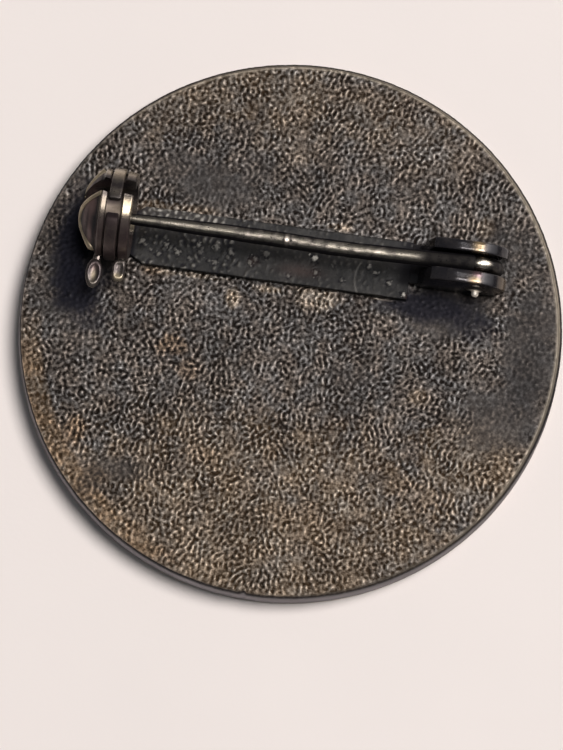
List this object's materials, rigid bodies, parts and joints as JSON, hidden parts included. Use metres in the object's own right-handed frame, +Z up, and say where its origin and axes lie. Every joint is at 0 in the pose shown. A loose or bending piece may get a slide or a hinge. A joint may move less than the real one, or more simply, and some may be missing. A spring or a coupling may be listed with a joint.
{
  "type": "enamel lapel badge",
  "caption": "Round enamel lapel badge that lies face down, with a soldered bar pin on its back: hinged pin wire and turning safety catch.",
  "frame": {"origin": "middle of the front rim's plane, on the surface that the badge lies on face down", "axes": "+Z straight up out of the badge's back, +X along the pin from its point to its joint, +Y across the pin towards the badge's top edge as worn"},
  "size_m": [0.0254, 0.0254, 0.0061],
  "materials": {
    "dark_bronze": "pebbled back with a dark brown and grey tarnish, worn bright along the edge",
    "blue_enamel": "polished, plain",
    "rivet_metal": "tarnished, domes worn bright",
    "pin_steel": "dull drawn wire with spots of corrosion",
    "catch_metal": "smooth dark tarnish, worn bright on its highest curves"
  },
  "bodies": {
    "badge": {"badge_plate": "dark_bronze", "enamel_field": "blue_enamel", "joint_rivet": "rivet_metal"},
    "pin": {"pin_wire": "pin_steel"},
    "catch": {"catch_rotor": "catch_metal"}
  },
  "joints": [
    {"name": "pin_swing", "type": "hinge", "parent": "badge", "child": "pin", "pos_m": [0.0083, 0.00376, 0.00315], "axis": [0, 1, 0], "range_deg": [0, 110]},
    {"name": "rotor_turn", "type": "hinge", "parent": "badge", "child": "catch", "pos_m": [-0.00838, 0.00376, 0.00395], "axis": [1, 0, 0], "range_deg": [-60, 30]}
  ]
}
